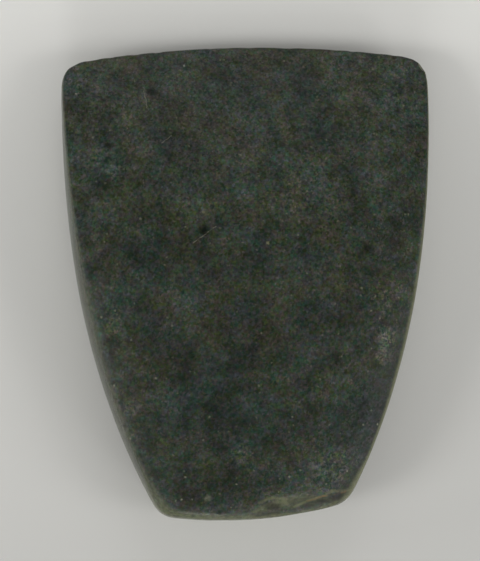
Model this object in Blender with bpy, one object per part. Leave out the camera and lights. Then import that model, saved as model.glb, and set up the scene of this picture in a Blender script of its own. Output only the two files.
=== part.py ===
"""A polished stone axe head: one ground stone, lying on its flatter face.

Units are metres, +Z is up, and the cutting edge points to +Y. The origin is on the resting plane,
below the middle of the head's outline. The stone is worked the way its maker worked it: each ground
surface (two faces, two sides, butt and cutting edge) is a formula, the stone is what lies inside all
of them, and where two of them meet the arris is worn round.
"""

import bmesh
import bpy
import numpy as np

# Outline from above: the sides leave the cutting edge parallel and close in toward the butt by a
# power of the distance, and the edge and the butt are arcs whose crests lie off the middle.
LENGTH = 0.0700
WIDTH = 0.0546
BUTT_WIDTH = 0.0259
BUTT_SHIFT = 0.0006
LEFT_SIDE_POWER = 2.75
RIGHT_SIDE_POWER = 2.70
EDGE_RADIUS = 0.1632
EDGE_CREST_X = 0.0048
BUTT_RADIUS = 0.0653
BUTT_CREST_X = -0.0037

# Thickness. Heights are measured up from the resting plane. The cutting edge runs close to it,
# because the lower face is the flatter one, and the edge's corners and the sides are lifted.
THICKNESS = 0.0138
EDGE_HEIGHT = 0.0026
CORNER_LIFT = 0.0010
EDGE_BLUNT = 0.0006
BUTT_THICKNESS = 0.0088
THICKEST_FROM_BUTT = 0.0290
BLADE_POWER = 2.0
BUTT_POWER = 2.0

# Cross-section: the two faces swell in the middle, and the sides are ground to narrow facets.
SIDE_HEIGHT = 0.0084
CROWN_POWER = 3.4
SIDE_BULGE_RADIUS = 0.0160

# Wear: how far each corner's rounding reaches, and the flat that the stone rests on.
BLADE_CORNER_WEAR = 0.0037
BUTT_CORNER_WEAR = 0.0018
SIDE_ARRIS_WEAR = 0.0005
BUTT_ARRIS_WEAR = 0.0024
LEAST_ARRIS_WEAR = 0.00006
WEAR_BLEND = 0.0060
WALL_SHARE = 0.8
REST_FLAT_DEPTH = 0.0003

# Two shallow scars where flakes came off the butt's upper arris: the ball that fits into each, and
# how far that ball is stretched along X.
WIDE_SCAR_X = 0.0112
WIDE_SCAR_RADIUS = 0.0060
WIDE_SCAR_DEPTH = 0.00035
WIDE_SCAR_STRETCH = 2.5
SMALL_SCAR_X = 0.0048
SMALL_SCAR_RADIUS = 0.0035
SMALL_SCAR_DEPTH = 0.00055
SMALL_SCAR_STRETCH = 1.0
SCAR_WEAR = 0.0002

# Facets of the mesh: counts along X, Y and Z, how far the rays start inside the outline and reach
# past it, and how often each point's place is worked out more closely.
FACETS = (34, 36, 12)
CORE_INSET = 0.0060
RAY_REACH = 1.6
HALVINGS = 40
PLAN_STEPS = 8

STONE_COLOUR = (0.033, 0.039, 0.030, 1.0)
STONE_ROUGHNESS = 0.45

EDGE_Y = LENGTH / 2
BUTT_Y = -LENGTH / 2
WIDE_SCAR = (WIDE_SCAR_X, WIDE_SCAR_RADIUS, WIDE_SCAR_DEPTH, WIDE_SCAR_STRETCH)
SMALL_SCAR = (SMALL_SCAR_X, SMALL_SCAR_RADIUS, SMALL_SCAR_DEPTH, SMALL_SCAR_STRETCH)


def smooth_max(a, b, reach):
    """The larger of a and b, rounded off where they differ by less than reach."""
    overlap = np.maximum(reach - np.abs(a - b), 0.0) / reach
    return np.maximum(a, b) + overlap**2 * reach / 4


def edge_line(x):
    """Y of the cutting edge, an arc, at x."""
    return EDGE_Y - (x - EDGE_CREST_X) ** 2 / (2 * EDGE_RADIUS)


def butt_line(x):
    """Y of the butt, a tighter arc, at x."""
    return BUTT_Y + (x - BUTT_CREST_X) ** 2 / (2 * BUTT_RADIUS)


def side_line(y, side):
    """X of one side at y; side is -1 on the left and 1 on the right."""
    power = LEFT_SIDE_POWER if side < 0 else RIGHT_SIDE_POWER
    taper = (WIDTH - BUTT_WIDTH) / 2 - side * BUTT_SHIFT
    from_edge = np.maximum(EDGE_Y - y, 0.0) / LENGTH
    return side * (WIDTH / 2 - taper * from_edge**power)


def thickness_share(x, y):
    """Thickness on the head's middle line, as a share of THICKNESS."""
    thickest_y = BUTT_Y + THICKEST_FROM_BUTT
    to_edge = np.maximum(y - thickest_y, 0.0) / (edge_line(x) - thickest_y)
    to_butt = np.maximum(thickest_y - y, 0.0) / (thickest_y - butt_line(x))
    edge_loss = (1 - EDGE_BLUNT / THICKNESS) * to_edge**BLADE_POWER
    butt_loss = (1 - BUTT_THICKNESS / THICKNESS) * to_butt**BUTT_POWER
    return 1 - edge_loss - butt_loss


def across(x, y):
    """How far (x, y) is from the head's middle line: 0 on it, 1 at the sides."""
    left, right = side_line(y, -1), side_line(y, 1)
    return np.abs(2 * x - left - right) / (right - left)


def face_share(x, y):
    """Thickness at (x, y) as a share of THICKNESS, with the crown across the faces."""
    crown = 1 - (1 - SIDE_HEIGHT / THICKNESS) * across(x, y) ** CROWN_POWER
    return thickness_share(x, y) * crown


def face_heights(x, y):
    """Heights of the lower and the upper face at (x, y)."""
    share = face_share(x, y)
    middle = EDGE_HEIGHT + CORNER_LIFT * across(x, y) ** 2
    lower = middle - (EDGE_HEIGHT + REST_FLAT_DEPTH) * share
    return lower, middle + (THICKNESS - EDGE_HEIGHT) * share


def faces_outside(x, y, z):
    """How far a point is above the upper face or below the lower one."""
    lower, upper = face_heights(x, y)
    return np.maximum(z - upper, lower - z)


def side_outside(x, y, z, side):
    """How far a point is outside one side, which bulges most midway between the faces."""
    lower, upper = face_heights(side_line(y, side), y)
    bulge_loss = (z - (lower + upper) / 2) ** 2 / (2 * SIDE_BULGE_RADIUS)
    return side * (x - side_line(y, side)) + bulge_loss


def outline_outside(x, y, z):
    """How far a point is outside the outline, with worn corners."""
    left = side_outside(x, y, z, -1)
    right = side_outside(x, y, z, 1)
    blade = smooth_max(np.maximum(left, right), y - edge_line(x), BLADE_CORNER_WEAR)
    return smooth_max(blade, butt_line(x) - y, BUTT_CORNER_WEAR)


def arris_wear(x, y):
    """Reach of the rounding between faces and outline, limited by the stone's thickness there."""
    from_butt = np.clip((y - butt_line(x)) / WEAR_BLEND, 0.0, 1.0)
    wear = BUTT_ARRIS_WEAR + (SIDE_ARRIS_WEAR - BUTT_ARRIS_WEAR) * from_butt
    wall = WALL_SHARE * THICKNESS / 2 * face_share(x, y)
    return np.maximum(np.minimum(wear, wall), LEAST_ARRIS_WEAR)


def scar_outside(x, y, z, scar_x, radius, depth, stretch):
    """Above zero inside the ball that hollows the butt's upper arris, depth deep, at scar_x."""
    arris_y = butt_line(scar_x)
    arris_z = face_heights(scar_x, arris_y)[1]
    reach = (radius - depth) / np.sqrt(2) - BUTT_ARRIS_WEAR / 4
    sideways, inward, up = (x - scar_x) / stretch, y - arris_y + reach, z - arris_z - reach
    return radius - np.sqrt(sideways**2 + inward**2 + up**2)


def outside(x, y, z):
    """Below zero inside the stone, above zero outside it."""
    stone = smooth_max(outline_outside(x, y, z), faces_outside(x, y, z), arris_wear(x, y))
    for scar in (WIDE_SCAR, SMALL_SCAR):
        stone = smooth_max(stone, scar_outside(x, y, z, *scar), SCAR_WEAR)
    return np.maximum(stone, -z)


def plan_point(u, v):
    """The point of the outline's inside that u across and v along stand for, each from -1 to 1."""
    x = u * BUTT_WIDTH / 2
    for _ in range(PLAN_STEPS):
        y = butt_line(x) + (v + 1) / 2 * (edge_line(x) - butt_line(x))
        left, right = side_line(y, -1), side_line(y, 1)
        x = left + (u + 1) / 2 * (right - left)
    return x, y


def on_stone(block):
    """Moves the points of a block, from -1 to 1 each way, out or in to the stone's surface."""
    u, v, w = np.sin(block * np.pi / 2).T
    x, y = plan_point(u, v)
    lower, upper = face_heights(x, y)
    blank = np.stack([x, y, (lower + upper) / 2 + w * (upper - lower) / 2], axis=1)
    inner_u = 1 - 2 * CORE_INSET / WIDTH
    inner_v = 1 - 2 * CORE_INSET / LENGTH
    core_x, core_y = plan_point(np.clip(u, -inner_u, inner_u), np.clip(v, -inner_v, inner_v))
    lower, upper = face_heights(core_x, core_y)
    core = np.stack([core_x, core_y, (lower + upper) / 2], axis=1)
    near, far = np.zeros(len(block)), np.full(len(block), RAY_REACH)
    for _ in range(HALVINGS):
        middle = (near + far) / 2
        is_outside = outside(*(core + middle[:, None] * (blank - core)).T) > 0
        near = np.where(is_outside, near, middle)
        far = np.where(is_outside, middle, far)
    return core + near[:, None] * (blank - core)


def cut_block():
    """A cube cut into FACETS pieces along each axis, as a bmesh."""
    block = bmesh.new()
    bmesh.ops.create_cube(block, size=2)
    for axis, count in enumerate(FACETS):
        along = [e for e in block.edges if abs(e.verts[0].co[axis] - e.verts[1].co[axis]) > 1]
        bmesh.ops.subdivide_edges(block, edges=along, cuts=count - 1, use_grid_fill=True)
    return block


def stone_material():
    """Dark green-grey polished stone."""
    material = bpy.data.materials.new("greenstone")
    material.use_nodes = True
    shader = material.node_tree.nodes["Principled BSDF"]
    shader.inputs["Base Color"].default_value = STONE_COLOUR
    shader.inputs["Roughness"].default_value = STONE_ROUGHNESS
    shader.inputs["Metallic"].default_value = 0.0
    return material


def make_axe_head(collection):
    """The stone: a cut block whose points are moved to the ground surfaces, centred over the origin."""
    block = cut_block()
    points = on_stone(np.array([vertex.co for vertex in block.verts], dtype=float))
    points[:, :2] -= (points[:, :2].min(axis=0) + points[:, :2].max(axis=0)) / 2
    for vertex, point in zip(block.verts, points):
        vertex.co = point
    bmesh.ops.recalc_face_normals(block, faces=block.faces)
    mesh = bpy.data.meshes.new("axe_head")
    block.to_mesh(mesh)
    block.free()
    mesh.shade_smooth()
    mesh.materials.append(stone_material())
    collection.objects.link(bpy.data.objects.new("axe_head", mesh))


def main():
    for old in list(bpy.data.objects):
        bpy.data.objects.remove(old)
    collection = bpy.data.collections.new("polished_stone_axe")
    bpy.context.scene.collection.children.link(collection)
    make_axe_head(collection)


main()
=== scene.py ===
import math

import bmesh
import bpy
import numpy as np
from mathutils import Matrix, Vector, noise
from mathutils.bvhtree import BVHTree


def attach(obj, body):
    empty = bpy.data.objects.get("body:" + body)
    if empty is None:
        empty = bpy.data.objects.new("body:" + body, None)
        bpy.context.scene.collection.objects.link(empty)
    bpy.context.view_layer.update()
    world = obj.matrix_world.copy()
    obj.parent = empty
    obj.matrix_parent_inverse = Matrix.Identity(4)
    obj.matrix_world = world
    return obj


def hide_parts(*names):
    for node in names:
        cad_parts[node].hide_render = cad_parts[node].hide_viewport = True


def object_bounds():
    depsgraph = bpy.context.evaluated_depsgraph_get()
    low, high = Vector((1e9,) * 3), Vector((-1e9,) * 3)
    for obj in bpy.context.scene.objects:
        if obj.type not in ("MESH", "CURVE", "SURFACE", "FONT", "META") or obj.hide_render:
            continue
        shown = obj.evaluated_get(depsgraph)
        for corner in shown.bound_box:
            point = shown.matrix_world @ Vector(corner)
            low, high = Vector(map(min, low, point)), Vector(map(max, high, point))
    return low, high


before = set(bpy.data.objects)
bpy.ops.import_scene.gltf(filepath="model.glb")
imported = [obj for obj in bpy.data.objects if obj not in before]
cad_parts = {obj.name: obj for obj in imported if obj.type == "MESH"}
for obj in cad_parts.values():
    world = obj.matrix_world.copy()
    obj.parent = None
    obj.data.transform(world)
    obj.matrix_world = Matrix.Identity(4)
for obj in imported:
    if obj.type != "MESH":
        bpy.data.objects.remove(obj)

CAD_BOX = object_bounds()

MM = 0.001
NODE = "axe_head"

# Camera: above the stone, leaning toward its left side and a little toward the butt.
CAMERA_DISTANCE = 0.600
LEAN_LEFT = math.radians(8.0)
LEAN_BUTT = math.radians(3.0)
AIM = Vector((-1.22, 0.165, 7.0)) * MM
IMAGE_HEIGHT = 561
PIXELS_PER_MM = 6.81
SENSOR = 36.0

# Lights: direction they come from (turn from +X, height above the floor), how wide they look from
# the stone, all in degrees, and their power at a distance of 1 m.
LIGHT_FAR = 4.0
LIGHTS = {
    "right_light": (341, 30, 24, 1.75),
    "butt_right_light": (310, 19, 16, 1.50),
    "left_light": (197, 29, 20, 2.75),
    "butt_light": (265, 9, 16, 4.40),
    "edge_light": (90, 35, 30, 1.00),
}
# The room's light at heights from the horizon (0) to overhead (1).
ROOM_STRENGTH = 3.0
ROOM_LIGHT = (
    (0.0, 0.86), (0.20, 0.86), (0.34, 0.17), (0.57, 0.14), (0.82, 0.08), (1.0, 0.03)
)
# The room is darker past the cutting edge: from and to along Y, and the light's share there.
ROOM_DIMMED = (-0.3, 0.8, 1.15, 0.45)

# Floor: pale, with a painted light falloff: paler past the cutting edge than past the butt, and
# towards the left.
FLOOR_SIZE = 20.0
FLOOR_PAINTED_DIM_NEAR_BUTT = (0.650, 0.645, 0.615, 1.0)
FLOOR_PAINTED_BRIGHT_NEAR_EDGE = (0.890, 0.885, 0.845, 1.0)
FLOOR_PAINTED_FALLOFF_REACH = 42 * MM
FLOOR_PAINTED_FALLOFF_WAY = (-0.25, 1.0, 0.0)
FLOOR_ROUGHNESS = 0.9
FLOOR_GLOSS = 0.2

# Fine mesh: the CAD facets are rounded off, which draws the surface in by about ROUNDING_LOSS, and
# edges over LONGEST_EDGE are cut where the surface's normal is at least this much upright.
ROUNDING_LEVELS = 2
LONGEST_EDGE = 0.45 * MM
CUT_UPRIGHT = 0.5
ROUNDING_LOSS = 0.08 * MM

# Relief: the width and height of the grinding waves, and the small pits. A range that ends in RISE
# or FACING is what the noise, the distance or the normal's part goes through as the form sets in.
WAVES = ((9.0 * MM, 0.050 * MM), (2.6 * MM, 0.020 * MM))
PIT_SPACING = 2.1 * MM
PIT_DEPTH = 0.05 * MM
PIT_RISE = (0.45, 0.80)
# Nicks in the cutting edge: their noise changes along X, and hardly along Y and Z.
EDGE_NICK_SPACING = 3.0 * MM
EDGE_NICK_DEPTH = 0.10 * MM
EDGE_NICK_WAY = (1, 0.05, 0.05)
EDGE_NICK_RISE = (-0.2, 0.8)
EDGE_FACING = (0.3, 0.8)
# What lies within this reach of the flat that the stone rests on, and faces down, keeps its form.
FLAT_REACH = 0.6 * MM
FLAT_FACING = (-0.75, -1.0)
# Each noise field is shifted by its own multiple of this step.
SEED_STEP = Vector((3.7, 1.9, 8.3))
PIT_SEED = 5
EDGE_NICK_SEED = 9

# Places on the stone are X and Y in mm, seen from above, and the solid's surface gives the height.
# Named hollows: place, reach across and along in mm, depth in mm.
HOLLOWS = (
    ((-7.27, 7.17), (0.45, 0.95), 0.22),
    ((-14.4, 27.88), (0.50, 0.50), 0.12),
    ((-20.92, 19.76), (0.60, 0.60), 0.14),
    ((16.76, 4.97), (0.80, 0.50), 0.12),
    ((-4.75, -33.52), (0.50, 0.50), 0.15),
)
HOLLOW_RISE = (1.4, 0.4)
# The chip at the cutting edge's right corner, as the ball that fits it: place, outward direction,
# radius in mm, depth in mm.
CORNER_CHIP = ((26.57, 32.27), (0.65, 0.60, 0.45), 2.2, 0.22)

# Hues of the stone's grains: from green to grey, and from bluish to brown.
GREY_HUES = (
    (0.00, (0.016, 0.048, 0.013)),
    (0.50, (0.039, 0.048, 0.035)),
    (1.00, (0.063, 0.048, 0.060)),
)
WARM_HUES = (
    (0.00, (0.022, 0.048, 0.053)),
    (1.00, (0.057, 0.048, 0.019)),
)
HUE_RANGE = (0.26, 0.74)
GREY_CLOUD = 1.0 * MM
WARM_CLOUD = 0.8 * MM
WIDE_WARM_CLOUD = 5.0 * MM
WIDE_WARM_SHARE = 0.3
HUE_DETAIL = 3.0

# Grain: the size of one grain, of the fine mottle over it, and of the bends in the grains' outlines.
GRAIN_SIZE = 0.30 * MM
FINE_SIZE = 0.55 * MM
FINE_DETAIL = 4.0
FINE_BREAKUP = 0.65
BEND_SIZE = 0.5 * MM
BEND_REACH = 0.40 * MM
BEND_DETAIL = 2.0
# Where most values of a cloud lie.
CLOUD_RANGE = (0.3, 0.7)

# Tone: how much it swings up and down from grain to grain, in the fine mottle, and in clouds, each
# with its size and detail.
GRAIN_SWING = 0.30
FINE_RANGE = (0.28, 0.72)
FINE_SWING = 0.35
TONE_CLOUDS = ((2.2 * MM, 3.0, 0.28), (5.5 * MM, 2.0, 0.28), (16 * MM, 1.0, 0.14))
# Painted light and shade: how pale the stone is from the butt (0) to the cutting edge (1), making up
# for how unevenly the lamps light the face.
PAINTED_LIGHT_ALONG = (
    (0.08, 0.83), (0.21, 0.68), (0.33, 0.87), (0.44, 0.96), (0.56, 1.03),
    (0.67, 1.23), (0.79, 1.10), (0.91, 1.28), (1.00, 1.36),
)
PAINTED_LIGHT_TOP = 1.6
# Painted shade: the shoulders are darker where the face slopes: the upright or rightward part of the
# normal that the shade runs between, and the tone left. On the right it depends on the place along
# the stone.
PAINTED_SHADE_UPRIGHT = (0.80, 0.96)
PAINTED_SHADE_TONE = 0.80
RIGHT_PAINTED_SHADE = (0.12, 0.40)
RIGHT_PAINTED_SHADE_ALONG = (0.30, 0.50)
RIGHT_PAINTED_SHADE_TONES = (0.60, 0.95)

# Pale flecks and dark pits: their spacing, where each fades as shares of it, and how many show.
FLECK_SPACING = 1.1 * MM
FLECK_REACH = (0.04, 0.20)
FLECK_CHANCE = (0.45, 1.0)
FLECK_COLOUR = (0.15, 0.15, 0.11, 1)
DARK_PIT_SPACING = 4.4 * MM
DARK_PIT_REACH = (0.05, 0.12)
DARK_PIT_CHANCE = (0.4, 0.8)
DARK_PIT_SHARE = 0.6
DARK_PIT_COLOUR = (0.010, 0.012, 0.010, 1)

# Shares of its reach between which a mark or a line fades away.
MARK_FADE = (0.25, 1.25)
# Pale marks: place, reach in mm, colour, and how solid each is.
PALE_MARKS = (
    ((-7.05, 9.68), 0.60, (0.149, 0.149, 0.088), 0.9),
    ((-24.53, 28.65), 0.22, (0.216, 0.176, 0.068), 0.9),
    ((-25.32, 27.45), 0.22, (0.243, 0.243, 0.203), 0.9),
    ((-9.19, 31.97), 0.22, (0.297, 0.297, 0.270), 0.9),
    ((-1.61, 18.38), 0.25, (0.230, 0.230, 0.176), 0.9),
    ((2.05, 5.36), 0.32, (0.270, 0.270, 0.149), 0.9),
    ((-6.42, -31.74), 0.60, (0.128, 0.132, 0.095), 0.8),
)
# Patches where the grain is paler, and patches of painted sheen inside both side arrises and at the
# corners of the cutting edge: place, reach in mm, and how many times as pale.
PALE_AND_SHEEN_PATCHES = (
    ((-20.33, 16.05), 1.30, 1.90),
    ((-21.83, 17.64), 2.00, 1.45),
    ((-1.81, -25.53), 2.00, 1.90),
    ((12.69, -26.89), 4.00, 1.90),
    ((9.19, 12.03), 6.50, 1.25),
    # painted sheen inside the left arris
    ((-20.48, -6.72), 1.80, 1.45),
    ((-17.67, -18.72), 2.20, 1.35),
    # painted sheen on the right shoulder
    ((19.70, -8.30), 1.90, 3.10),
    ((19.30, -11.00), 1.60, 2.40),
    ((20.40, -3.00), 3.40, 1.70),
    ((0.66, 11.38), 2.40, 1.30),
    # painted highlight at the corners of the cutting edge
    ((-22.50, 27.50), 4.00, 1.20),
    ((22.00, 28.50), 4.50, 1.25),
)
PATCH_RANGE = (0.36, 0.62)
PATCH_GRAIN_SHARE = 0.3
MARK_EVENNESS = 0.25

# Arrises and sides are paler and olive at the butt, and a painted olive highlight runs along the
# right arris: their colours, the range of the normal or of the place along the stone that each fades
# in over, and how the mottle breaks it up.
ARRIS_COLOUR = (0.094, 0.096, 0.072, 1)
ARRIS_UPRIGHT = (0.80, 0.62)
ARRIS_MOTTLE = (0.30, 0.65, 0.15, 0.60)
BUTT_ARRIS_COLOUR = (0.108, 0.114, 0.062, 1)
BUTT_ARRIS_ALONG = (0.11, 0.05)
RIM_HIGHLIGHT_COLOUR = (0.112, 0.118, 0.066, 1)
RIM_HIGHLIGHT_RIGHTWARD = (0.50, 0.75)
RIM_HIGHLIGHT_UPRIGHT = (0.10, 0.35)
RIM_HIGHLIGHT_MOTTLE = (0.30, 0.60, 0.55, 1.0)

# Dark marks: place, reach in mm, and the share of the light left.
DARK_MARKS = (
    ((-7.27, 7.17), 0.85, 0.35),
    ((-14.4, 27.88), 0.70, 0.45),
    ((-20.92, 19.76), 0.80, 0.45),
    ((16.76, 4.97), 0.90, 0.50),
    ((10.45, 23.59), 5.50, 0.84),
)
# Dark lines: both ends, the reach in mm, and the share of the light left.
DARK_LINES = (
    ((8.22, -32.75), (10.67, -32.17), 0.75, 0.50),
    ((10.67, -32.17), (13.14, -31.51), 0.75, 0.55),
    ((6.30, -32.20), (13.40, -31.00), 1.10, 0.62),
    ((2.55, -32.89), (3.81, -32.89), 0.85, 0.40),
)
# Fine scratches: both ends.
SCRATCHES = (
    ((-13.13, 20.04), (-11.6, 21.18)),
    ((-15.41, 28.47), (-15.02, 25.35)),
    ((-8.86, 5.36), (-5.47, 7.79)),
)
SCRATCH_REACH = 0.09
SCRATCH_SHARE = 0.6
SCRATCH_COLOUR = (0.21, 0.21, 0.16, 1)
# Pale and brown lines along the butt's wide scar, and the pale rim of its small one: both ends, the
# reach in mm, and the colour.
SCAR_LINES = (
    ((6.66, -32.96), (9.76, -31.67), 0.36, (0.085, 0.090, 0.045)),
    ((9.76, -31.67), (11.97, -30.70), 0.32, (0.100, 0.105, 0.055)),
    ((11.97, -30.70), (14.83, -30.54), 0.32, (0.110, 0.110, 0.060)),
    ((8.54, -32.15), (10.69, -31.43), 0.20, (0.085, 0.045, 0.020)),
    ((10.69, -31.43), (14.10, -30.76), 0.22, (0.100, 0.055, 0.022)),
    ((1.13, -32.47), (2.09, -31.99), 0.32, (0.080, 0.088, 0.048)),
    ((2.09, -31.99), (3.07, -31.67), 0.30, (0.095, 0.100, 0.055)),
    ((3.07, -31.67), (4.75, -31.83), 0.30, (0.095, 0.100, 0.052)),
    ((4.75, -31.83), (5.43, -32.63), 0.32, (0.075, 0.082, 0.045)),
)
SCAR_LINE_SHARE = 0.55

# Polish: the gloss, and the roughness on the faces, where it varies in spots, and on the sides. The
# ranges that end in UPRIGHT are the upright part of the normal between the sides and the faces.
GLOSS = 0.11
POLISH_SIZE = 1.2 * MM
POLISH_DETAIL = 4.0
POLISH_BREAKUP = 0.7
FACE_ROUGHNESS = (0.28, 0.44)
SIDE_ROUGHNESS = 0.20
FACE_UPRIGHT = (0.35, 0.60)
# How far the normal leans from grain to grain on the faces, and the bumps of the fine mottle.
GRAIN_TILT = 0.06
TILT_UPRIGHT = (0.35, 0.75)
BUMP_STRENGTH = 0.25
BUMP_HEIGHT = 0.04 * MM
DARK_PIT_BUMP = 1.5


def solid_surface():
    """The CAD solid's surface, to look points up on."""
    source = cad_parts[NODE]
    points = [source.matrix_world @ vertex.co for vertex in source.data.vertices]
    return BVHTree.FromPolygons(points, [face.vertices for face in source.data.polygons])


def on_stone(place):
    """The point of the solid's upper surface at a place that is X and Y in mm."""
    above = Vector((place[0] * MM, place[1] * MM, 2 * CAD_BOX[1][2]))
    return SURFACE.ray_cast(above, Vector((0.0, 0.0, -1.0)))[0]


SURFACE = solid_surface()


def camera():
    back = Vector((-math.tan(LEAN_LEFT), -math.tan(LEAN_BUTT), 1.0)).normalized()
    right = Vector((0.0, 1.0, 0.0)).cross(back).normalized()
    up = back.cross(right)
    data = bpy.data.cameras.new("camera")
    data.sensor_width = SENSOR
    data.lens = SENSOR * CAMERA_DISTANCE / (IMAGE_HEIGHT / PIXELS_PER_MM * MM)
    data.clip_start = 0.01
    data.clip_end = 50
    obj = bpy.data.objects.new("camera", data)
    bpy.context.scene.collection.objects.link(obj)
    turn = Matrix((right, up, back)).transposed().to_4x4()
    obj.matrix_world = Matrix.Translation(AIM + back * CAMERA_DISTANCE) @ turn
    bpy.context.scene.camera = obj


def lights():
    for name, (turn, height, width, power) in LIGHTS.items():
        turn, height, width = math.radians(turn), math.radians(height), math.radians(width)
        way = Vector((
            math.cos(turn) * math.cos(height),
            math.sin(turn) * math.cos(height),
            math.sin(height),
        ))
        data = bpy.data.lights.new(name, "AREA")
        data.shape = "DISK"
        data.size = 2 * LIGHT_FAR * math.tan(width / 2)
        data.energy = power * LIGHT_FAR**2
        obj = bpy.data.objects.new(name, data)
        bpy.context.scene.collection.objects.link(obj)
        obj.location = way * LIGHT_FAR
        obj.rotation_euler = way.to_track_quat("Z", "Y").to_euler()
        obj.visible_camera = False


def room():
    world = bpy.data.worlds.new("room")
    bpy.context.scene.world = world
    world.use_nodes = True
    tree = world.node_tree
    way = add(tree, "ShaderNodeTexCoord")
    parts = add(tree, "ShaderNodeSeparateXYZ", {"Vector": way.outputs["Generated"]})
    height = ramp(tree, parts.outputs["Z"], [(at, (light,) * 3) for at, light in ROOM_LIGHT])
    dimmed = scaled(tree, height, spread(tree, parts.outputs["Y"], *ROOM_DIMMED))
    tree.links.new(dimmed, tree.nodes["Background"].inputs["Color"])
    tree.nodes["Background"].inputs["Strength"].default_value = ROOM_STRENGTH


def floor():
    mesh = bpy.data.meshes.new("floor")
    block = bmesh.new()
    bmesh.ops.create_grid(block, x_segments=1, y_segments=1, size=FLOOR_SIZE / 2)
    block.to_mesh(mesh)
    block.free()
    obj = bpy.data.objects.new("floor", mesh)
    bpy.context.scene.collection.objects.link(obj)
    mesh.materials.append(floor_material())


def floor_material():
    material = bpy.data.materials.new("pale_floor_painted_falloff")
    material.use_nodes = True
    tree = material.node_tree
    shader = tree.nodes["Principled BSDF"]
    place = add(tree, "ShaderNodeTexCoord").outputs["Object"]
    # painted light falloff across the floor
    along = vector(tree, "DOT_PRODUCT", place, FLOOR_PAINTED_FALLOFF_WAY).outputs["Value"]
    share = spread(tree, along, -FLOOR_PAINTED_FALLOFF_REACH, FLOOR_PAINTED_FALLOFF_REACH, 0.0, 1.0)
    tree.links.new(blend(tree, share, FLOOR_PAINTED_DIM_NEAR_BUTT, FLOOR_PAINTED_BRIGHT_NEAR_EDGE), shader.inputs["Base Color"])
    shader.inputs["Roughness"].default_value = FLOOR_ROUGHNESS
    shader.inputs["Specular IOR Level"].default_value = FLOOR_GLOSS
    return material


def add(tree, kind, inputs=None, **settings):
    """A new node; each input takes a number, a colour or another node's socket."""
    made = tree.nodes.new(kind)
    for key, value in settings.items():
        setattr(made, key, value)
    for key, value in (inputs or {}).items():
        if isinstance(value, bpy.types.NodeSocket):
            tree.links.new(value, made.inputs[key])
        else:
            made.inputs[key].default_value = value
    return made


def ramp(tree, value, stops):
    """The colour at value, between stops that are each a place from 0 to 1 and a colour."""
    made = add(tree, "ShaderNodeValToRGB", {"Fac": value})
    elements = made.color_ramp.elements
    for index, (at, colour) in enumerate(stops):
        stop = elements[index] if index < 2 else elements.new(at)
        stop.position = at
        stop.color = (*colour, 1)
    return made.outputs["Color"]


def spread(tree, value, low, high, to_low, to_high):
    """value between low and high, carried over to between to_low and to_high."""
    return add(tree, "ShaderNodeMapRange", {
        "Value": value,
        "From Min": low,
        "From Max": high,
        "To Min": to_low,
        "To Max": to_high,
    }).outputs["Result"]


def swing(tree, value, low, high, reach):
    """value between low and high, carried over to reach below 1 and reach above it."""
    return spread(tree, value, low, high, 1 - reach, 1 + reach)


def times(tree, *values):
    result = values[0]
    for value in values[1:]:
        result = add(tree, "ShaderNodeMath", {0: result, 1: value}, operation="MULTIPLY").outputs[0]
    return result


def mean(tree, first, second, share):
    """first and second mixed: all second where share is 1."""
    return add(tree, "ShaderNodeMix", {0: share, 2: first, 3: second}).outputs[0]


def blend(tree, share, first, second):
    """Two colours mixed: all second where share is 1."""
    return add(tree, "ShaderNodeMix", {0: share, 6: first, 7: second}, data_type="RGBA").outputs[2]


def vector(tree, operation, first, second):
    return add(tree, "ShaderNodeVectorMath", {0: first, 1: second}, operation=operation)


def scaled(tree, first, factor):
    """A colour or vector times a number."""
    made = add(tree, "ShaderNodeVectorMath", {0: first, "Scale": factor}, operation="SCALE")
    return made.outputs[0]


def cloud(tree, place, size, detail, breakup=0.5):
    """Smooth noise about 0.5; breakup is how strong its smaller features are."""
    return add(tree, "ShaderNodeTexNoise", {
        "Vector": place,
        "Scale": 1 / size,
        "Detail": detail,
        "Roughness": breakup,
    }).outputs["Fac"]


def shifted_cloud(tree, place, number, size):
    """A cloud from 0 to 1 of its own, set apart from the others by its number."""
    moved = vector(tree, "ADD", place, tuple(SEED_STEP * (number + 1))).outputs[0]
    return spread(tree, cloud(tree, moved, size, HUE_DETAIL), *CLOUD_RANGE, 0.0, 1.0)


def cells(tree, place, size):
    """A pattern of cells: the distance from each one's middle, and its own three random parts."""
    made = add(tree, "ShaderNodeTexVoronoi", {"Vector": place, "Scale": 1 / size})
    parts = add(tree, "ShaderNodeSeparateColor", {"Color": made.outputs["Color"]})
    return made, parts.outputs


def close(tree, away, reach):
    """1 at no distance, falling to 0 past the reach, which is in mm."""
    return add(tree, "ShaderNodeMapRange", {
        "Value": away,
        "From Min": reach * MM * MARK_FADE[0],
        "From Max": reach * MM * MARK_FADE[1],
        "To Min": 1.0,
        "To Max": 0.0,
    }, interpolation_type="SMOOTHSTEP").outputs["Result"]


def near(tree, place, mark, reach):
    """1 at a mark on the stone, falling to 0 past its reach."""
    away = vector(tree, "DISTANCE", place, tuple(on_stone(mark))).outputs["Value"]
    return close(tree, away, reach)


def near_line(tree, place, start, end, reach):
    """1 on the line from start to end, falling to 0 past its reach."""
    start = on_stone(start)
    way = on_stone(end) - start
    from_start = vector(tree, "SUBTRACT", place, tuple(start)).outputs[0]
    along = vector(tree, "DOT_PRODUCT", from_start, tuple(way / way.length_squared)).outputs["Value"]
    along = add(tree, "ShaderNodeClamp", {"Value": along}).outputs[0]
    nearest = scaled(tree, tuple(way), along)
    away = vector(tree, "DISTANCE", from_start, nearest).outputs["Value"]
    return close(tree, away, reach)


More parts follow.
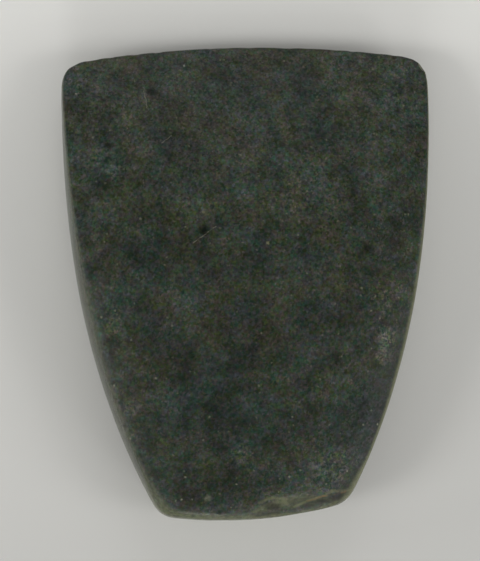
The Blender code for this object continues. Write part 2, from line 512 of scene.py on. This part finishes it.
class Grain:
    """Sockets that the steps of the stone's material share: places, directions and the grain."""

    def __init__(self, tree):
        coordinates = add(tree, "ShaderNodeTexCoord")
        self.place = coordinates.outputs["Object"]
        self.normal = coordinates.outputs["Normal"]
        ways = add(tree, "ShaderNodeSeparateXYZ", {"Vector": self.normal}).outputs
        self.rightward, self.upright = ways["X"], ways["Z"]
        along = add(tree, "ShaderNodeSeparateXYZ", {"Vector": self.place}).outputs["Y"]
        self.along = spread(tree, along, CAD_BOX[0][1], CAD_BOX[1][1], 0.0, 1.0)
        bend = add(tree, "ShaderNodeTexNoise", {
            "Vector": self.place,
            "Scale": 1 / BEND_SIZE,
            "Detail": BEND_DETAIL,
        })
        centred = vector(tree, "SUBTRACT", bend.outputs["Color"], (0.5, 0.5, 0.5)).outputs[0]
        self.bent = vector(tree, "ADD", self.place, scaled(tree, centred, BEND_REACH)).outputs[0]
        grains, self.kinds = cells(tree, self.bent, GRAIN_SIZE)
        self.grain_colour = grains.outputs["Color"]
        self.fine = cloud(tree, self.place, FINE_SIZE, FINE_DETAIL, FINE_BREAKUP)


def grain_hue(tree, grain):
    """Each grain's hue, between green and grey and between bluish and brown."""
    greyness = shifted_cloud(tree, grain.place, 0, GREY_CLOUD)
    greyness = mean(tree, greyness, grain.kinds["Red"], 0.5)
    warmth = shifted_cloud(tree, grain.place, 1, WARM_CLOUD)
    warmth = mean(tree, warmth, grain.kinds["Blue"], 0.5)
    wide = shifted_cloud(tree, grain.place, 2, WIDE_WARM_CLOUD)
    warmth = mean(tree, warmth, wide, WIDE_WARM_SHARE)
    grey = ramp(tree, spread(tree, greyness, *HUE_RANGE, 0.0, 1.0), GREY_HUES)
    warm = ramp(tree, spread(tree, warmth, *HUE_RANGE, 0.0, 1.0), WARM_HUES)
    return blend(tree, 0.5, grey, warm)


def tone_with_painted_light(tree, grain):
    """How many times as pale as its hue the stone is, with painted shade on the shoulders and painted
    light along the stone.
    """
    clouds = [
        swing(tree, cloud(tree, grain.place, size, detail), *CLOUD_RANGE, reach)
        for size, detail, reach in TONE_CLOUDS
    ]
    # painted shade on the right shoulder
    right_shade_tone = spread(tree, grain.along, *RIGHT_PAINTED_SHADE_ALONG, *RIGHT_PAINTED_SHADE_TONES)
    return times(
        tree,
        swing(tree, grain.kinds["Green"], 0.0, 1.0, GRAIN_SWING),
        swing(tree, grain.fine, *FINE_RANGE, FINE_SWING),
        *clouds,
        # painted shade on the sloping shoulders
        spread(tree, grain.upright, *PAINTED_SHADE_UPRIGHT, PAINTED_SHADE_TONE, 1.0),
        spread(tree, grain.rightward, *RIGHT_PAINTED_SHADE, 1.0, right_shade_tone),
        # painted light and shade along the stone
        ramp(tree, grain.along, [(at, (tone / PAINTED_LIGHT_TOP,) * 3) for at, tone in PAINTED_LIGHT_ALONG]),
        PAINTED_LIGHT_TOP,
    )


def fleck_share(tree, grain):
    """1 on the pale flecks of the stone."""
    flecks, chance = cells(tree, grain.bent, FLECK_SPACING)
    spot = spread(tree, flecks.outputs["Distance"], *FLECK_REACH, 1.0, 0.0)
    return times(tree, spot, spread(tree, chance["Green"], *FLECK_CHANCE, 0.0, 1.0))


def dark_pit_share(tree, grain):
    """Above 0 on the dark pits of the stone."""
    pits, chance = cells(tree, grain.bent, DARK_PIT_SPACING)
    spot = spread(tree, pits.outputs["Distance"], *DARK_PIT_REACH, 1.0, 0.0)
    return times(tree, spot, spread(tree, chance["Blue"], *DARK_PIT_CHANCE, 0.0, DARK_PIT_SHARE))


def toned(tree, colour, share, tone):
    """colour, times tone where share is 1."""
    return scaled(tree, colour, spread(tree, share, 0.0, 1.0, 1.0, tone))


def with_pale_places_and_sheen(tree, grain, colour):
    """colour with the paler patches, the painted sheen patches and the pale marks."""
    broken = mean(tree, grain.fine, grain.kinds["Blue"], PATCH_GRAIN_SHARE)
    broken = spread(tree, broken, *PATCH_RANGE, 0.0, 1.0)
    # paler grain, and painted sheen
    for mark, reach, gain in PALE_AND_SHEEN_PATCHES:
        share = times(tree, near(tree, grain.bent, mark, reach), broken)
        colour = toned(tree, colour, share, gain)
    for mark, reach, pale, solid in PALE_MARKS:
        evener = mean(tree, broken, 1.0, MARK_EVENNESS)
        share = times(tree, near(tree, grain.bent, mark, reach), evener, solid)
        colour = blend(tree, share, colour, (*pale, 1))
    return colour


def with_pale_arrises_and_rim_highlight(tree, grain, colour):
    """colour with the paler arrises, olive at the butt, and a painted olive highlight along the right
    arris.
    """
    arris = times(
        tree,
        spread(tree, grain.upright, *ARRIS_UPRIGHT, 0.0, 1.0),
        spread(tree, grain.fine, *ARRIS_MOTTLE),
    )
    at_butt = spread(tree, grain.along, *BUTT_ARRIS_ALONG, 0.0, 1.0)
    colour = blend(tree, arris, colour, blend(tree, at_butt, ARRIS_COLOUR, BUTT_ARRIS_COLOUR))
    # painted highlight along the right arris
    rim = times(
        tree,
        spread(tree, grain.rightward, *RIM_HIGHLIGHT_RIGHTWARD, 0.0, 1.0),
        spread(tree, grain.upright, *RIM_HIGHLIGHT_UPRIGHT, 0.0, 1.0),
        spread(tree, grain.fine, *RIM_HIGHLIGHT_MOTTLE),
    )
    return blend(tree, rim, colour, RIM_HIGHLIGHT_COLOUR)


def with_marks_and_lines(tree, grain, colour):
    """colour with the dark marks and lines, the scratches and the lines of the butt's scars."""
    for mark, reach, left in DARK_MARKS:
        colour = toned(tree, colour, near(tree, grain.bent, mark, reach), left)
    for start, end, reach, left in DARK_LINES:
        colour = toned(tree, colour, near_line(tree, grain.bent, start, end, reach), left)
    for start, end in SCRATCHES:
        share = near_line(tree, grain.bent, start, end, SCRATCH_REACH)
        colour = blend(tree, times(tree, share, SCRATCH_SHARE), colour, SCRATCH_COLOUR)
    for start, end, reach, pale in SCAR_LINES:
        share = near_line(tree, grain.bent, start, end, reach)
        colour = blend(tree, times(tree, share, SCAR_LINE_SHARE), colour, (*pale, 1))
    return colour


def stone_roughness(tree, grain):
    spots = cloud(tree, grain.place, POLISH_SIZE, POLISH_DETAIL, POLISH_BREAKUP)
    on_faces = spread(tree, spots, *CLOUD_RANGE, *FACE_ROUGHNESS)
    return mean(tree, SIDE_ROUGHNESS, on_faces, spread(tree, grain.upright, *FACE_UPRIGHT, 0.0, 1.0))


def stone_normal(tree, grain, dark_pit):
    """The normal, tilted a little from grain to grain on the faces, and its bumps and pits."""
    centred = vector(tree, "SUBTRACT", grain.grain_colour, (0.5, 0.5, 0.5)).outputs[0]
    reach = spread(tree, grain.upright, *TILT_UPRIGHT, 0.0, 2 * GRAIN_TILT)
    tilted = vector(tree, "ADD", grain.normal, scaled(tree, centred, reach)).outputs[0]
    tilted = add(tree, "ShaderNodeVectorMath", {0: tilted}, operation="NORMALIZE").outputs[0]
    sunk = times(tree, dark_pit, DARK_PIT_BUMP)
    height = add(tree, "ShaderNodeMath", {0: grain.fine, 1: sunk}, operation="SUBTRACT").outputs[0]
    return add(tree, "ShaderNodeBump", {
        "Height": height,
        "Strength": BUMP_STRENGTH,
        "Distance": BUMP_HEIGHT,
        "Normal": tilted,
    }).outputs["Normal"]


def stone_material():
    """Dark speckled greenstone with a worn satin polish."""
    material = bpy.data.materials.new("greenstone")
    material.use_nodes = True
    tree = material.node_tree
    shader = tree.nodes["Principled BSDF"]
    grain = Grain(tree)
    dark_pit = dark_pit_share(tree, grain)
    colour = scaled(tree, grain_hue(tree, grain), tone_with_painted_light(tree, grain))
    colour = blend(tree, fleck_share(tree, grain), colour, FLECK_COLOUR)
    colour = blend(tree, dark_pit, colour, DARK_PIT_COLOUR)
    colour = with_pale_places_and_sheen(tree, grain, colour)
    colour = with_pale_arrises_and_rim_highlight(tree, grain, colour)
    colour = with_marks_and_lines(tree, grain, colour)
    tree.links.new(colour, shader.inputs["Base Color"])
    tree.links.new(stone_roughness(tree, grain), shader.inputs["Roughness"])
    tree.links.new(stone_normal(tree, grain, dark_pit), shader.inputs["Normal"])
    shader.inputs["Specular IOR Level"].default_value = GLOSS
    return material


def rise(values, start, end):
    """0 on one side of start and 1 on the other side of end, with a smooth step between."""
    share = np.clip((values - start) / (end - start), 0.0, 1.0)
    return share**2 * (3 - 2 * share)


def noise_at(points, size, shift):
    """Smooth noise, about -1 to 1, at each point; size is the width of its features."""
    offset = SEED_STEP * shift
    return np.array([noise.noise(Vector(p) / size + offset) for p in points])


def mesh_arrays(mesh):
    """The mesh's points and normals, one row each."""
    points = np.empty(len(mesh.vertices) * 3)
    normals = np.empty(len(mesh.vertices) * 3)
    mesh.vertices.foreach_get("co", points)
    mesh.vertices.foreach_get("normal", normals)
    return points.reshape(-1, 3), normals.reshape(-1, 3)


def low_relief(points, normals):
    """How far each point moves inward for the waves, pits, hollows and nicks; below 0 is outward."""
    inward = np.full(len(points), -ROUNDING_LOSS)
    for step, (size, height) in enumerate(WAVES):
        inward += height * (0.5 + 0.5 * noise_at(points, size, step + 1))
    pits = noise_at(points, PIT_SPACING / 2, PIT_SEED)
    inward += PIT_DEPTH * rise(pits, *PIT_RISE)
    for place, (across, along), depth in HOLLOWS:
        away = (points - on_stone(place)) / MM / (across, along, (across + along) / 2)
        inward += depth * MM * rise(np.linalg.norm(away, axis=1), *HOLLOW_RISE)
    nick = noise_at(points * EDGE_NICK_WAY, EDGE_NICK_SPACING / 2, EDGE_NICK_SEED)
    at_edge = rise(normals[:, 1], *EDGE_FACING)
    inward += EDGE_NICK_DEPTH * rise(nick, *EDGE_NICK_RISE) * at_edge
    at_flat = rise(points[:, 2], FLAT_REACH, 0.0) * rise(normals[:, 2], *FLAT_FACING)
    return inward * (1 - at_flat)


def chip(points, place, way, radius, depth):
    """Pushes points out of the ball that touches the stone at place and sinks in by depth."""
    way = np.array(way) / np.linalg.norm(way)
    centre = np.array(on_stone(place)) + way * (radius - depth) * MM
    away = points - centre
    far = np.linalg.norm(away, axis=1)
    inside = (far < radius * MM) & (far > 0)
    points[inside] = centre + away[inside] / far[inside][:, None] * radius * MM


def rounded_copy():
    """A new object with the CAD solid's surface, its facets rounded off."""
    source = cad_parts[NODE]
    mesh = source.data.copy()
    mesh.transform(source.matrix_world)
    block = bmesh.new()
    block.from_mesh(mesh)
    bmesh.ops.remove_doubles(block, verts=block.verts, dist=1e-6)
    bmesh.ops.join_triangles(
        block, faces=block.faces, angle_face_threshold=3.0, angle_shape_threshold=3.0
    )
    block.to_mesh(mesh)
    block.free()
    obj = bpy.data.objects.new("stone", mesh)
    bpy.context.scene.collection.objects.link(obj)
    rounding = obj.modifiers.new("rounding", "SUBSURF")
    rounding.levels = rounding.render_levels = ROUNDING_LEVELS
    graph = bpy.context.evaluated_depsgraph_get()
    mesh = bpy.data.meshes.new_from_object(obj.evaluated_get(graph))
    obj.modifiers.clear()
    obj.data = mesh
    return obj


def cut_finer(mesh):
    """Cuts the long edges of the upper face, and all faces to triangles."""
    block = bmesh.new()
    block.from_mesh(mesh)
    long_edges = [
        edge for edge in block.edges
        if edge.calc_length() > LONGEST_EDGE and min(v.normal.z for v in edge.verts) > CUT_UPRIGHT
    ]
    bmesh.ops.subdivide_edges(block, edges=long_edges, cuts=1, use_grid_fill=True)
    bmesh.ops.triangulate(block, faces=block.faces)
    block.to_mesh(mesh)
    block.free()
    mesh.update()


def stone():
    obj = rounded_copy()
    mesh = obj.data
    cut_finer(mesh)
    points, normals = mesh_arrays(mesh)
    points = points - normals * low_relief(points, normals)[:, None]
    chip(points, *CORNER_CHIP)
    points = np.clip(points, np.array(CAD_BOX[0]), np.array(CAD_BOX[1]))
    mesh.vertices.foreach_set("co", points.ravel())
    mesh.update()
    mesh.shade_smooth()
    mesh.materials.clear()
    mesh.materials.append(stone_material())
    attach(obj, "root")
    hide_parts(NODE)


camera()
lights()
room()
floor()
stone()
bpy.context.scene.view_settings.view_transform = "Standard"
